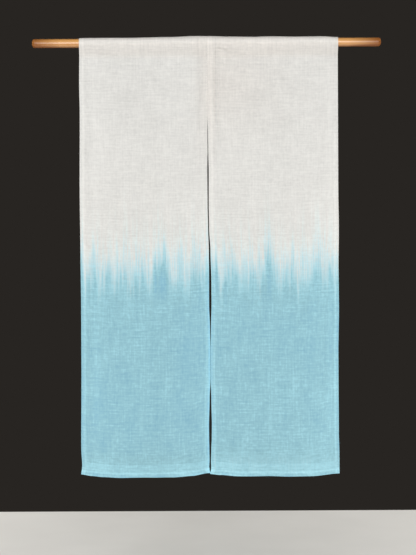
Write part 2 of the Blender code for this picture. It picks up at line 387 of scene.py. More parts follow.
RIGHT_TOP_LINE = (
    LineRow(across=0.00, height=0.0228),
    LineRow(across=0.05, height=0.0222),
    LineRow(across=0.15, height=0.0207),
    LineRow(across=0.35, height=0.0195),
    LineRow(across=0.48, height=0.0209),
    LineRow(across=0.68, height=0.0194),
    LineRow(across=0.88, height=0.0203),
    LineRow(across=1.00, height=LOOP_RADIUS),
)
print("slit at its widest:", max(row.gap for row in SLIT) * 1000, "mm")

# %% [markdown]
# ## Folds and creases
#
# The upright folds are long bells that grow downwards, as in the plain model. On top of them come the
# small creases that only show from close by: a soft ridge beside the seam, a trough along the edge of the
# seam allowance, short drag wrinkles where the seam pulls at the pocket, and a few long faint ones. A cloth
# simulation would make folds as lively, but not these ones in their places, so each is given one by one. A
# crease is a line between two places with a width and a push. It is a bell across the line that fades out
# at both ends.

# %% Tables of the folds and creases
LEFT_FOLDS = (
    Fold(across=0.00, width=0.16, push=0.0070, starts=0.30, full=1.45),
    Fold(across=0.24, width=0.20, push=-0.0090, starts=0.20, full=1.40),
    Fold(across=0.50, width=0.16, push=0.0060, starts=0.45, full=1.45),
    Fold(across=0.74, width=0.17, push=-0.0080, starts=0.15, full=1.30),
    Fold(across=0.93, width=0.07, push=0.0035, starts=0.06, full=0.35),
    Fold(across=1.00, width=0.13, push=0.0060, starts=0.40, full=1.35),
)
RIGHT_FOLDS = (
    Fold(across=0.00, width=0.06, push=-0.0030, starts=0.35, full=1.20),
    Fold(across=0.09, width=0.06, push=0.0035, starts=0.05, full=0.30),
    Fold(across=0.27, width=0.18, push=-0.0095, starts=0.12, full=1.25),
    Fold(across=0.52, width=0.15, push=0.0055, starts=0.35, full=1.40),
    Fold(across=0.76, width=0.18, push=-0.0085, starts=0.25, full=1.45),
    Fold(across=1.00, width=0.15, push=0.0080, starts=0.20, full=1.40),
)
LEFT_CREASES = (
    Crease(0.413, 0.05, 0.409, 0.66, width=0.0060, push=-0.0011),
    Crease(0.424, 0.08, 0.421, 0.48, width=0.0035, push=0.0006),
    Crease(0.395, 0.05, 0.386, 0.34, width=0.0070, push=0.0007),
    Crease(0.330, 0.10, 0.337, 0.40, width=0.0120, push=0.0006),
    Crease(0.060, 0.12, 0.070, 0.52, width=0.0140, push=-0.0007),
    Crease(0.150, 0.30, 0.138, 0.62, width=0.0150, push=0.0006),
    Crease(0.012, 1.43, 0.060, 1.465, width=0.0060, push=0.0010),
    Crease(0.395, 1.445, 0.425, 1.46, width=0.0060, push=-0.0009),
)
RIGHT_CREASES = (
    Crease(0.0325, 0.01, 0.031, 0.56, width=0.0030, push=0.0010),
    Crease(0.028, 0.012, 0.082, 0.026, width=0.0030, push=-0.0024),
    Crease(0.030, 0.021, 0.070, 0.033, width=0.0028, push=0.0021),
    Crease(0.030, 0.050, 0.085, 0.056, width=0.0030, push=-0.0020),
    Crease(0.028, 0.062, 0.074, 0.074, width=0.0030, push=0.0025),
    Crease(0.034, 0.078, 0.110, 0.068, width=0.0034, push=-0.0019),
    Crease(0.030, 0.104, 0.070, 0.122, width=0.0034, push=0.0013),
    Crease(0.052, 0.06, 0.047, 0.36, width=0.0060, push=-0.0007),
    Crease(0.075, 0.09, 0.066, 0.30, width=0.0080, push=0.0006),
    Crease(0.205, 0.12, 0.214, 0.50, width=0.0140, push=0.0007),
    Crease(0.360, 0.14, 0.350, 0.56, width=0.0150, push=-0.0007),
    Crease(0.405, 1.43, 0.433, 1.462, width=0.0060, push=0.0010),
)
CREASE_FADES_OVER = 0.3


def fold_push(folds, across, depth):
    """How far the folds carry the cloth from its plane: a bell across, growing with depth."""
    push = np.zeros(np.broadcast(across, depth).shape)
    for fold in folds:
        growing = ease((depth - fold.starts) / (fold.full - fold.starts))
        push += fold.push * bell(across - fold.across, fold.width) * growing
    return push


def crease_push(creases, from_left, depth):
    """How far the creases carry it. Each place is measured along the crease's line, as a share of it, and
    square to it: the push is a bell of the square distance, times an S-curve in from each end."""
    push = np.zeros(np.broadcast(from_left, depth).shape)
    for crease in creases:
        run = np.array([crease.end_across - crease.start_across, crease.end_depth - crease.start_depth])
        length = math.hypot(*run)
        along_x = from_left - crease.start_across
        along_z = depth - crease.start_depth
        along = (along_x * run[0] + along_z * run[1]) / length**2
        off = (along_x * run[1] - along_z * run[0]) / length
        fading = ease(along / CREASE_FADES_OVER) * ease((1.0 - along) / CREASE_FADES_OVER)
        push += crease.push * bell(off, crease.width) * fading
    return push


print(len(LEFT_FOLDS) + len(RIGHT_FOLDS), "folds,", len(LEFT_CREASES) + len(RIGHT_CREASES), "creases")

# %% [markdown]
# ## What the sewing does to the cloth
#
# Sewing draws linen up. A hem puckers along its stitches in waves about three centimetres long, and the
# stitches themselves sit in a fine groove. The seam allowance behind the right panel stands its front out
# as a low step that ends in a soft edge. The waves below are one sine whose height a longer sine varies, so
# neighbouring puckers differ.

# %% Seam allowance, grooves and puckers
RIDGE_WIDTH = 0.0255
RIDGE_EDGE = 0.0050
RIDGE_HEIGHT = 0.0020
RIDGE_ENDS = 0.300
GROOVE_IN = 0.0025
GROOVE_WIDTH = 0.0011
GROOVE_DEPTH = 0.0003
PUCKER_HEIGHT = 0.00045
PUCKER_REACH = 0.0090
PUCKER_WAVES = (0.029, 0.0465)
PUCKERS_VARY = 0.4
PUCKER_TURNS = (0.7, 0.3, 1.9)


def seam_ridge(from_seam, depth):
    """How far the seam allowance stands the right panel's front out: level, then an eased edge."""
    flat_part = 1.0 - ease((from_seam - (RIDGE_WIDTH - RIDGE_EDGE)) / RIDGE_EDGE)
    below_rod = ease(depth / STITCH_DEPTH)
    fading = ease((RIDGE_ENDS - depth) / (RIDGE_ENDS - JOIN_DEPTH))
    return RIDGE_HEIGHT * flat_part * below_rod * fading


def puckers(along, from_stitches, turn):
    """Waves along a row of stitches, highest on it and a third as high PUCKER_REACH away. One sine makes
    the waves, a longer one swells and shrinks them, and turn sets where they start."""
    first, second = PUCKER_WAVES
    swell = 1.0 - PUCKERS_VARY + PUCKERS_VARY * np.sin(2 * math.pi * along / second)
    wave = np.sin(2 * math.pi * along / first + turn) * swell
    return PUCKER_HEIGHT * wave * bell(from_stitches, PUCKER_REACH)


def groove(from_stitches):
    """The dent that a row of stitches presses into the cloth: a narrow bell."""
    return GROOVE_DEPTH * bell(from_stitches, GROOVE_WIDTH)


def sewn_relief(panel, from_left, along, from_bottom):
    """All pushes of the hems' sewing at each place, away from the viewer."""
    side = SIDE_HEM - GROOVE_IN
    lower = BOTTOM_HEM - GROOVE_IN
    lower_turn, left_turn, right_turn = PUCKER_TURNS
    push = groove(from_bottom - lower) + puckers(from_left, from_bottom - lower, lower_turn)
    for turn, off in ((left_turn, from_left - side), (right_turn, panel.width - from_left - side)):
        push = push + groove(off) + puckers(along, off, turn)
    return push


print(f"puckers {PUCKER_HEIGHT * 1000:.2f} mm high, waves of {PUCKER_WAVES[0] * 1000:.0f} mm")

# %% [markdown]
# ## The dye
#
# The dye bath climbed some threads further than others, and its edge has broad tongues and narrow pale
# gaps. Each is listed, to the nearest few millimetres: a bell that lifts the half-dyed line, or
# lowers it where the rise is negative. Finer than these, small groups of threads differ by chance. Down
# each thread the amount follows a logistic curve, the S-curve of things that soak: slow at the tip, quick
# at the half, slow to fill. A few patches took more dye than the rest, or a little less. The edge could be
# painted on the mesh, but a formula in the cloth's own measures can be put right tongue by tongue.

# %% Tongues of dye
Tongue = namedtuple("Tongue", "across width rise")
Patch = namedtuple("Patch", "across depth width height more")
LEFT_TONGUES = (
    Tongue(across=0.005, width=0.006, rise=0.045),
    Tongue(across=0.020, width=0.009, rise=-0.030),
    Tongue(across=0.043, width=0.010, rise=0.025),
    Tongue(across=0.072, width=0.010, rise=-0.012),
    Tongue(across=0.095, width=0.009, rise=0.018),
    Tongue(across=0.115, width=0.007, rise=-0.022),
    Tongue(across=0.130, width=0.006, rise=0.012),
    Tongue(across=0.150, width=0.010, rise=0.008),
    Tongue(across=0.168, width=0.007, rise=-0.025),
    Tongue(across=0.200, width=0.009, rise=0.015),
    Tongue(across=0.232, width=0.011, rise=-0.028),
    Tongue(across=0.256, width=0.010, rise=0.038),
    Tongue(across=0.280, width=0.012, rise=0.055),
    Tongue(across=0.314, width=0.009, rise=-0.028),
    Tongue(across=0.342, width=0.010, rise=0.005),
    Tongue(across=0.373, width=0.008, rise=-0.015),
    Tongue(across=0.390, width=0.006, rise=0.035),
    Tongue(across=0.415, width=0.006, rise=-0.018),
    Tongue(across=0.431, width=0.005, rise=0.035),
)
RIGHT_TONGUES = (
    Tongue(across=0.005, width=0.006, rise=0.030),
    Tongue(across=0.017, width=0.006, rise=0.038),
    Tongue(across=0.036, width=0.010, rise=-0.024),
    Tongue(across=0.061, width=0.007, rise=0.030),
    Tongue(across=0.082, width=0.008, rise=0.030),
    Tongue(across=0.099, width=0.006, rise=-0.020),
    Tongue(across=0.145, width=0.012, rise=0.005),
    Tongue(across=0.167, width=0.009, rise=-0.015),
    Tongue(across=0.199, width=0.014, rise=0.072),
    Tongue(across=0.222, width=0.008, rise=0.020),
    Tongue(across=0.245, width=0.012, rise=-0.022),
    Tongue(across=0.281, width=0.007, rise=0.016),
    Tongue(across=0.301, width=0.010, rise=-0.022),
    Tongue(across=0.340, width=0.012, rise=-0.010),
    Tongue(across=0.368, width=0.013, rise=0.046),
    Tongue(across=0.396, width=0.009, rise=-0.006),
    Tongue(across=0.412, width=0.007, rise=0.016),
    Tongue(across=0.440, width=0.006, rise=0.025),
)
LEFT_DEEPER = (
    Patch(across=0.256, depth=0.800, width=0.011, height=0.060, more=0.18),
    Patch(across=0.282, depth=0.785, width=0.013, height=0.065, more=0.26),
    Patch(across=0.400, depth=0.830, width=0.010, height=0.060, more=0.08),
    Patch(across=0.375, depth=1.000, width=0.050, height=0.160, more=0.06),
    Patch(across=0.220, depth=1.300, width=0.400, height=0.200, more=0.04),
    Patch(across=0.220, depth=1.430, width=0.500, height=0.035, more=-0.07),
)
RIGHT_DEEPER = (
    Patch(across=0.013, depth=0.790, width=0.009, height=0.060, more=0.15),
    Patch(across=0.050, depth=0.840, width=0.010, height=0.040, more=0.08),
    Patch(across=0.208, depth=0.790, width=0.014, height=0.060, more=0.16),
    Patch(across=0.366, depth=0.800, width=0.010, height=0.045, more=0.10),
    Patch(across=0.220, depth=0.980, width=0.400, height=0.120, more=0.03),
    Patch(across=0.220, depth=1.430, width=0.500, height=0.040, more=-0.10),
)
DYE_LINE = 0.774
TIP_ABOVE = 0.073
FULL_BELOW = 0.061
THREADS_STRAY = 0.015
REACH_STRAYS = 0.030
THREAD_GROUP = 0.0072
THREAD_GROUPS = 80
SOAKING = 2.0
SOAKED_THROUGH = 5.0


def spread(patch, from_left, depth):
    """1 in the middle of a patch, falling along the bell curve in both directions."""
    return bell(from_left - patch.across, patch.width) * bell(depth - patch.depth, patch.height)


def chance_line(seed, from_left):
    """A line with no pattern: a height by chance from -1 to 1 for each group of threads, joined by
    S-curves."""
    heights = np.random.default_rng(seed).uniform(-1.0, 1.0, THREAD_GROUPS)
    place = np.clip(from_left / THREAD_GROUP, 0.0, THREAD_GROUPS - 1)
    group = np.minimum(place.astype(int), THREAD_GROUPS - 2)
    return heights[group] + (heights[group + 1] - heights[group]) * ease(place - group)


def dye_amount(panel, from_left, depth):
    """0 undyed to 1 fully dyed. The half-dyed line is the dye line less the tongues' bells. A place
    counts -1 at the tip above it, 0 on it and 1 at the full depth below it, and the logistic curve of
    that count is the amount."""
    lifted = sum(tongue.rise * bell(from_left - tongue.across, tongue.width) for tongue in panel.tongues)
    half = DYE_LINE - lifted + THREADS_STRAY * chance_line(panel.seed, from_left)
    tip = half - TIP_ABOVE - REACH_STRAYS * chance_line(panel.seed + 1, from_left)
    full = half + FULL_BELOW + REACH_STRAYS * chance_line(panel.seed + 2, from_left)
    count = np.where(depth < half, (depth - half) / (half - tip), (depth - half) / (full - half))
    amount = 1.0 / (1.0 + np.exp(-SOAKING * np.clip(count, -SOAKED_THROUGH, SOAKED_THROUGH)))
    for patch in panel.deeper:
        amount = amount * (1.0 + patch.more * spread(patch, from_left, depth))
    return amount


print(len(LEFT_TONGUES), "tongues on the left panel and", len(RIGHT_TONGUES), "on the right")

# %% [markdown]
# ## Where more lies behind the cloth, with painted light and shade
#
# This linen is thin enough for the dark behind it to show through. Where a hem or the turned-up end lies
# behind it, it looks lighter, and lightest along the sewn line, where the layers are pulled together. Over
# the rod it looks lighter too, partly from the pale rod behind and partly as a painted highlight along the
# pocket's crest. Not every hem shows as much, so each has its own column, and the low start of the right
# panel's outer hem is painted shade. Upright bands hold what is left. Beside the seam, soft troughs, a dark
# line along the edge of the seam allowance and a dark spot at the rod are painted shade. Broad faint bands
# make each panel a little lighter towards its outer side and darker further in, as painted light and
# painted shade. Others lighten the hems beside the slit, where the cloth lies double, and paint a highlight
# on the foot of the cloth there. A see-through material would show the layers by itself, but only in front
# of something dark, so their tone is worked out here as a value, which counts the sewn line of a side hem
# as 1. The painted light and shade are added to the same value.

# %% Layers behind the face, with painted light and shade
HemRow = namedtuple("HemRow", "depth left right")
Band = namedtuple("Band", "across width lighter starts full fades gone")
LEFT_HEMS = (
    HemRow(depth=0.00, left=0.70, right=0.10),
    HemRow(depth=0.12, left=1.00, right=0.15),
    HemRow(depth=0.60, left=1.00, right=0.30),
    HemRow(depth=0.90, left=0.95, right=0.55),
    HemRow(depth=1.48, left=0.95, right=0.55),
)
# The right column starts low: painted shade over the top of the right panel's outer hem.
RIGHT_HEMS = (
    HemRow(depth=0.00, left=0.50, right=0.05),
    HemRow(depth=0.24, left=0.60, right=0.10),
    HemRow(depth=0.33, left=0.95, right=0.85),
    HemRow(depth=0.90, left=0.62, right=1.15),
    HemRow(depth=1.48, left=0.62, right=1.15),
)
LEFT_BANDS = (
    # Painted shade: a soft trough left of the seam, and a dark spot beside it at the rod.
    Band(across=0.409, width=0.012, lighter=-0.40, starts=0.01, full=0.06, fades=0.20, gone=0.34),
    Band(across=0.402, width=0.005, lighter=-0.60, starts=-0.02, full=-0.01, fades=0.00, gone=0.03),
    # Painted light towards the outer side, over this row and the next.
    Band(across=0.051, width=0.012, lighter=0.25, starts=0.04, full=0.10, fades=1.20, gone=1.40),
    Band(across=0.055, width=0.045, lighter=0.25, starts=0.90, full=1.15, fades=1.50, gone=1.60),
    Band(across=0.4335, width=0.0065, lighter=1.05, starts=0.68, full=0.76, fades=1.50, gone=1.60),
    # Painted light towards the outer side, over this row and the next.
    Band(across=0.060, width=0.050, lighter=0.24, starts=-0.02, full=0.00, fades=0.60, gone=0.80),
    Band(across=0.040, width=0.045, lighter=0.10, starts=0.70, full=0.90, fades=1.50, gone=1.60),
    # Painted shade further in.
    Band(across=0.240, width=0.090, lighter=-0.12, starts=0.90, full=1.15, fades=1.50, gone=1.60),
    # Painted highlight on the foot of the cloth beside the slit.
    Band(across=0.385, width=0.035, lighter=0.90, starts=1.463, full=1.469, fades=1.50, gone=1.60),
)
RIGHT_BANDS = (
    # Painted shade over the first three rows: the trough beside the seam allowance and a dark line along its
    # edge.
    Band(across=0.034, width=0.009, lighter=-0.50, starts=0.01, full=0.05, fades=0.22, gone=0.36),
    Band(across=0.028, width=0.0025, lighter=-0.50, starts=-0.01, full=0.02, fades=0.20, gone=0.30),
    Band(across=0.028, width=0.0022, lighter=-0.60, starts=-0.02, full=-0.01, fades=0.04, gone=0.07),
    Band(across=0.010, width=0.009, lighter=0.25, starts=0.03, full=0.06, fades=0.20, gone=0.28),
    Band(across=0.003, width=0.0022, lighter=1.00, starts=-0.02, full=-0.01, fades=0.05, gone=0.09),
    # Painted light towards the outer side, over this row and the next.
    Band(across=0.416, width=0.012, lighter=0.40, starts=0.04, full=0.10, fades=1.20, gone=1.40),
    Band(across=0.405, width=0.030, lighter=0.35, starts=1.10, full=1.30, fades=1.50, gone=1.60),
    Band(across=0.004, width=0.007, lighter=0.50, starts=0.72, full=0.82, fades=1.50, gone=1.60),
    # Painted light towards the outer side.
    Band(across=0.370, width=0.050, lighter=0.24, starts=0.20, full=0.32, fades=1.50, gone=1.60),
    # Painted shade further in.
    Band(across=0.150, width=0.110, lighter=-0.08, starts=0.90, full=1.10, fades=1.50, gone=1.60),
    # Painted highlight on the foot of the cloth beside the slit.
    Band(across=0.062, width=0.062, lighter=1.00, starts=1.463, full=1.469, fades=1.50, gone=1.60),
)
LEFT_WARMER = (Patch(across=0.4355, depth=0.14, width=0.035, height=0.20, more=0.80),)
RIGHT_WARMER = (
    Patch(across=0.030, depth=0.13, width=0.210, height=0.17, more=0.75),
    Patch(across=0.010, depth=0.16, width=0.014, height=0.28, more=0.40),
)
POCKET_WARMTH = 0.80
HEM_FLAT = 0.35
HEM_SEWN = 0.65
HEM_REACH = 0.0036
LOWER_FLAT = 0.50
LOWER_SEWN = 1.22
LOWER_REACH = 0.0024
TURNED_UP = 0.62
CORNERS = 0.90
# OVER_ROD: partly the pale rod behind the cloth, partly a painted highlight along the pocket's crest.
OVER_ROD = 0.85
ROD_MIDDLE = 0.001
ROD_REACH = 0.014
WARM_DOWN_TO = 0.030
WARM_FADES_OVER = 0.032


def sewn_lines(panel, from_left, from_bottom):
    """1 on the line where a hem is sewn down, the lower hem's first and then the left and right ones'."""
    lower = bell(from_bottom - BOTTOM_HEM + GROOVE_IN, LOWER_REACH)
    left, right = (bell(at - SIDE_HEM + GROOVE_IN, HEM_REACH) for at in (from_left, panel.width - from_left))
    return lower, left, right


def layers_and_painted_light_at(panel, from_left, from_bottom, depth):
    """A hem is a level part and a bell on its sewn line, and the strongest of the hems and the turned-up
    end counts at each place. The rod's bell, which is partly a painted highlight on the pocket's crest, the
    bands, which hold painted light and painted shade, and the corners, where hems cross, are added to it."""
    lower_line, left_line, right_line = sewn_lines(panel, from_left, from_bottom)
    strongest = TURNED_UP * within(BOTTOM_TURNED, from_bottom, past=0.001, soft=0.002)
    lower = LOWER_FLAT * within(BOTTOM_HEM, from_bottom, past=0.002, soft=0.003) + LOWER_SEWN * lower_line
    strongest = np.maximum(strongest, lower)
    for column, line, from_side in (
        ("left", left_line, from_left),
        ("right", right_line, panel.width - from_left),
    ):
        hem = HEM_FLAT * within(SIDE_HEM, from_side, past=0.001, soft=0.003) + HEM_SEWN * line
        strongest = np.maximum(strongest, hem * between_rows(panel.hems, column, depth))
    # The rod's bell is partly a painted highlight.
    total = strongest + OVER_ROD * bell(depth + ROD_MIDDLE, ROD_REACH)
    from_side = np.minimum(from_left, panel.width - from_left)
    in_side_hem = within(SIDE_HEM, from_side, past=0.0, soft=0.004)
    in_lower_hem = within(BOTTOM_HEM, from_bottom, past=0.0, soft=0.004)
    total = total + CORNERS * in_side_hem * in_lower_hem
    for band in panel.bands:
        coming = ease((depth - band.starts) / (band.full - band.starts))
        going = ease((band.gone - depth) / (band.gone - band.fades))
        total = total + band.lighter * bell(from_left - band.across, band.width) * coming * going
    return total


def warmth_at(panel, from_left, depth):
    """How warm the white looks: most over the pocket, and in soft patches beside the seam."""
    warmth = POCKET_WARMTH * (1.0 - ease((depth - WARM_DOWN_TO) / WARM_FADES_OVER))
    for patch in panel.warmer:
        warmth = warmth + patch.more * spread(patch, from_left, depth)
    return warmth


LEFT = Panel(
    name="left", width=LEFT_PANEL_WIDTH, lower_line=LEFT_LOWER_LINE, top_line=LEFT_TOP_LINE,
    folds=LEFT_FOLDS, creases=LEFT_CREASES, tongues=LEFT_TONGUES, seed=11, deeper=LEFT_DEEPER,
    hems=LEFT_HEMS, bands=LEFT_BANDS, warmer=LEFT_WARMER,
)
RIGHT = Panel(
    name="right", width=CLOTH_WIDTH - LEFT_PANEL_WIDTH, lower_line=RIGHT_LOWER_LINE, top_line=RIGHT_TOP_LINE,
    folds=RIGHT_FOLDS, creases=RIGHT_CREASES, tongues=RIGHT_TONGUES, seed=21, deeper=RIGHT_DEEPER,
    hems=RIGHT_HEMS, bands=RIGHT_BANDS, warmer=RIGHT_WARMER,
)
print(f"panels {LEFT.width:.4f} and {RIGHT.width:.4f} m wide")

# %% [markdown]
# ## Over the rod and down
#
# In section the cloth starts at its turned edge on the back, climbs to the rod, goes over it in an arc and
# comes down the front to the stitches that close the pocket. The straight runs touch the arc, so their
# angle follows from the rod's radius and the depth of the stitches. Below that the cloth hangs. A curve
# could carry this section too, but with plain rows of points the pocket and the cloth below it are one grid.

# %% The path of the cloth in section
TURNING_STEPS = 4
TANGENT_STEPS = 13
ARC_STEPS = 26
FINE_FROM = 0.0015
FINE_STEP = 0.0024
FINE_TO = 0.110
EVEN_STEP = 0.0064
EVEN_ENDS_ABOVE = 0.052
TURNED_ROWS = (0.0480, 0.0450, 0.0435, 0.0380, 0.0320, 0.0260, 0.0215, 0.0180)
HEM_ROWS = (0.0170, 0.0158, 0.0150, 0.0145, 0.0140, 0.0130, 0.0100, 0.0060, 0.0030, 0.0013, 0.0005, 0.0)
HEM_COLUMNS = (0.0, 0.0005, 0.0013, 0.0030, 0.0060, 0.0095, 0.0117, 0.0125, 0.0130, 0.0135, 0.0143)
HEM_STEP = 0.0010
SEAM_REGION = 0.090
SEAM_STEPS = 34
PLAIN_STEPS = 92


def pocket_profile():
    """The pocket's outer face as points (y, z), and for each its share of the way up the back: 0 at the
    stitch line and below it, 1 from the rod on. A straight run touches the arc where the radius is square
    to it, which is turned from its foot by the angle whose cosine is the radius over the reach."""
    reach = math.hypot(FRONT_FACE, STITCH_DEPTH)
    drop_angle = math.atan2(-STITCH_DEPTH, FRONT_FACE)
    touch_angle = drop_angle - math.acos(LOOP_RADIUS / reach)
    front_angle = touch_angle % (2 * math.pi)
    arc = np.linspace(math.pi - front_angle, front_angle, ARC_STEPS + 1)
    arc_points = LOOP_RADIUS * np.column_stack([np.cos(arc), np.sin(arc)])
    rise = np.linspace(0.0, 1.0, TANGENT_STEPS + 1)[:-1, None]
    back_foot = np.array([-FRONT_FACE, -STITCH_DEPTH])
    front_foot = np.array([FRONT_FACE, -STITCH_DEPTH])
    back = back_foot + rise * (arc_points[0] - back_foot)
    front = (front_foot + rise * (arc_points[-1] - front_foot))[::-1]
    turned = back_foot - np.linspace(1.0, 0.0, TURNING_STEPS + 1)[:-1, None] * np.array([[0.0, TURNING]])
    points = np.vstack([turned, back, arc_points, front])
    up_the_back = np.concatenate([np.zeros(len(turned)), rise[:, 0], np.ones(len(arc_points) + len(front))])
    return points, up_the_back


def column_places(panel):
    """Distances from the panel's left edge: closest together in the hems, and closer beside the seam, where
    the small wrinkles are, than in the rest."""
    side = np.array([*HEM_COLUMNS, SIDE_HEM, SIDE_HEM + HEM_STEP])
    near = np.linspace(side[-1], SEAM_REGION, SEAM_STEPS)
    plain = np.linspace(SEAM_REGION, panel.width - side[-1], PLAIN_STEPS)
    from_seam = np.concatenate([side[:-1], near[:-1], plain, (panel.width - side[:-1])[::-1]])
    return from_seam if panel is RIGHT else (panel.width - from_seam)[::-1]


def hanging_places():
    """Shares of the way from the stitch line to the lower edge, close together at both ends."""
    length = CLOTH_DROP - STITCH_DEPTH
    fine = np.arange(FINE_FROM, FINE_TO, FINE_STEP)
    even = np.arange(FINE_TO, length - EVEN_ENDS_ABOVE, EVEN_STEP)
    near_bottom = length - np.array([*TURNED_ROWS, *HEM_ROWS])
    return np.concatenate([fine, even, near_bottom]) / length


profile, up_the_back = pocket_profile()
down_shares = hanging_places()
print(f"{len(profile)} rows round the pocket and {len(down_shares)} below it")

# %% [markdown]
# ## From section to surface
#
# A panel's outer face is a function of two parameters: the share across it and the row of its section. The
# hanging part is its own function, because the stitches are laid on it afterwards. Its place follows from
# the edges at that depth, then the folds, creases and sewing push it away from or towards the viewer.

# %% The outer face of a panel
RIM_LEAST = 0.0002
FAR_FROM_EDGE = 1.0


def long_edges(panel, depth):
    """The x of the panel's left and right edges at each depth."""
    slit = SEAM + between_rows(SLIT, "shift", depth)
    half_gap = between_rows(SLIT, "gap", depth) / 2
    if panel is LEFT:
        return CLOTH_LEFT + between_rows(LEFT_EDGE, "inset", depth), slit - half_gap
    return slit + half_gap, CLOTH_LEFT + CLOTH_WIDTH - between_rows(RIGHT_EDGE, "inset", depth)


def shaped(panel, across, y, z, in_front):
    """Points for shares across and a section's y and z: x from the edges at that depth, and y moved by
    folds, creases, sewing and the seam allowance. in_front is 1 where the sheet is on the front."""
    depth = np.clip(-z, 0.0, None)
    from_left = across * panel.width
    left, right = long_edges(panel, depth)
    lowest = -between_rows(panel.lower_line, "height", across)
    push = fold_push(panel.folds, across, depth)
    push = push + in_front * crease_push(panel.creases, from_left, depth)
    push = push + in_front * ease(depth / STITCH_DEPTH) * sewn_relief(panel, from_left, depth, lowest - depth)
    if panel is RIGHT:
        push = push - in_front * seam_ridge(from_left, depth)
    return np.dstack([left + (right - left) * across, y + push, z])


def hanging_face(panel, across, down):
    """The front below the pocket, for shares across and shares of the way down."""
    lowest = between_rows(panel.lower_line, "height", across)
    z = -STITCH_DEPTH + down * (lowest + STITCH_DEPTH)
    return shaped(panel, across, np.full(z.shape, FRONT_FACE), z, 1.0)


def thickness_at(from_side, from_bottom):
    """Three layers in a hem, two above it as far as the turned end reaches, one elsewhere, and a rounded
    rim: near an edge the thickness is the chord of a circle as wide as the hem is thick."""
    turned = SINGLE + (DOUBLE - SINGLE) * within(BOTTOM_TURNED, from_bottom, past=0.001, soft=0.0015)
    hem = np.maximum(
        within(SIDE_HEM, from_side, past=HEM_STEP, soft=HEM_STEP),
        within(BOTTOM_HEM, from_bottom, past=HEM_STEP, soft=HEM_STEP),
    )
    thickness = turned + (HEMMED - turned) * hem
    inside = np.clip(np.minimum(from_side, from_bottom) + RIM_LEAST, 0.0, HEMMED / 2)
    return thickness * np.sqrt(1.0 - (1.0 - inside / (HEMMED / 2)) ** 2)


def panel_face(panel):
    """The whole outer face, row by row from the turned edge to the lower edge, with its thickness. The
    pocket's back is drawn in where the cloth is single: by the thickness missing there and in front."""
    places = column_places(panel)
    across = (places / panel.width)[None, :]
    from_side = np.minimum(places, panel.width - places)[None, :]

    pocket_thickness = thickness_at(from_side, FAR_FROM_EDGE)
    lift = between_rows(panel.top_line, "height", across) - LOOP_RADIUS
    crest = np.clip(profile[:, 1:] / LOOP_RADIUS, 0.0, 1.0) ** 2
    z = profile[:, 1:] + crest * lift
    drawn_in = 2.0 * (HEMMED - np.maximum(pocket_thickness, SINGLE))
    y = profile[:, :1] - (1.0 - up_the_back)[:, None] * drawn_in
    pocket = shaped(panel, across, y, z, (profile[:, :1] < 0.0).astype(float))

    hanging = hanging_face(panel, across, down_shares[:, None])
    lowest = -between_rows(panel.lower_line, "height", across)
    from_bottom = lowest + hanging[..., 2]
    thickness = np.vstack([
        np.broadcast_to(pocket_thickness, z.shape),
        thickness_at(np.broadcast_to(from_side, from_bottom.shape), from_bottom),
    ])
    return np.vstack([pocket, hanging]), thickness


def grid_normals(points):
    """The way each point of a grid faces: its step along the columns crossed with its step down the rows."""
    across = np.gradient(points, axis=1)
    down = np.gradient(points, axis=0)
    normals = np.cross(down, across)
    return normals / np.linalg.norm(normals, axis=-1, keepdims=True)


left_thickness = panel_face(LEFT)[1]
print("left panel's face:", left_thickness.shape[0], "rows by", left_thickness.shape[1], "columns")
print(f"its hems are {left_thickness.max() * 1000:.1f} mm thick")

# %% [markdown]
# ## Linen
#
# Slub linen has uneven yarns in both directions: thick and thin places, and rows where the threads stand
# closer. The material has stretched noises along the warp and along the weft, coarse ones that show from a
# step away and fine ones for single yarns, and a plain weave as bump. The colour comes from the amount of
# dye through a ramp of cloth colours, from undyed to the darkest streak. Where the cloth lies double no
# dark shows through it, so it is lighter there, and the same value lightens or darkens it as painted light
# and painted shade. All of it is worked out from noise and sines, because a picture of linen would repeat,
# and blur from close by.

# %% The linen material
DyeStop = namedtuple("DyeStop", "amount red green blue")
DYE_COLOURS = (
    DyeStop(0.00, 225, 224, 220),
    DyeStop(0.08, 222, 227, 224),
    DyeStop(0.20, 213, 226, 227),
    DyeStop(0.45, 194, 220, 226),
    DyeStop(0.75, 170, 211, 221),
    DyeStop(0.92, 154, 201, 213),
    DyeStop(1.00, 149, 195, 207),
    DyeStop(1.20, 139, 191, 213),
)
MOST_DYE = 1.2
WARP_PITCH = 0.00095
WEFT_PITCH = 0.00105
LIGHTER_FOR_LAYERS_AND_PAINT = 0.12
LIGHTER_FOR_LAYERS_AND_PAINT_DYED = 0.06
THICK_YARNS_PALER = 1.30
YARNS_SHOW_DYED = 0.12
SLUB_HEIGHTS = (1.6, 1.6, 0.8, 0.8)
WARM = (0.996, 0.963, 0.944, 1.0)
Yarns = namedtuple("Yarns", "per_metre_across per_metre_down detail colour dye")
YARNS = (
    Yarns(per_metre_across=700.0, per_metre_down=14.0, detail=1.0, colour=0.10, dye=0.35),
    Yarns(per_metre_across=14.0, per_metre_down=660.0, detail=1.0, colour=0.12, dye=0.10),
    Yarns(per_metre_across=180.0, per_metre_down=9.0, detail=1.0, colour=0.10, dye=1.10),
    Yarns(per_metre_across=10.0, per_metre_down=190.0, detail=1.0, colour=0.11, dye=0.25),
    Yarns(per_metre_across=130.0, per_metre_down=70.0, detail=1.0, colour=0.12, dye=0.20),
    Yarns(per_metre_across=45.0, per_metre_down=150.0, detail=1.0, colour=0.12, dye=0.15),
    Yarns(per_metre_across=22.0, per_metre_down=14.0, detail=1.0, colour=0.085, dye=0.10),
    Yarns(per_metre_across=7.0, per_metre_down=5.0, detail=1.0, colour=0.06, dye=0.10),
)


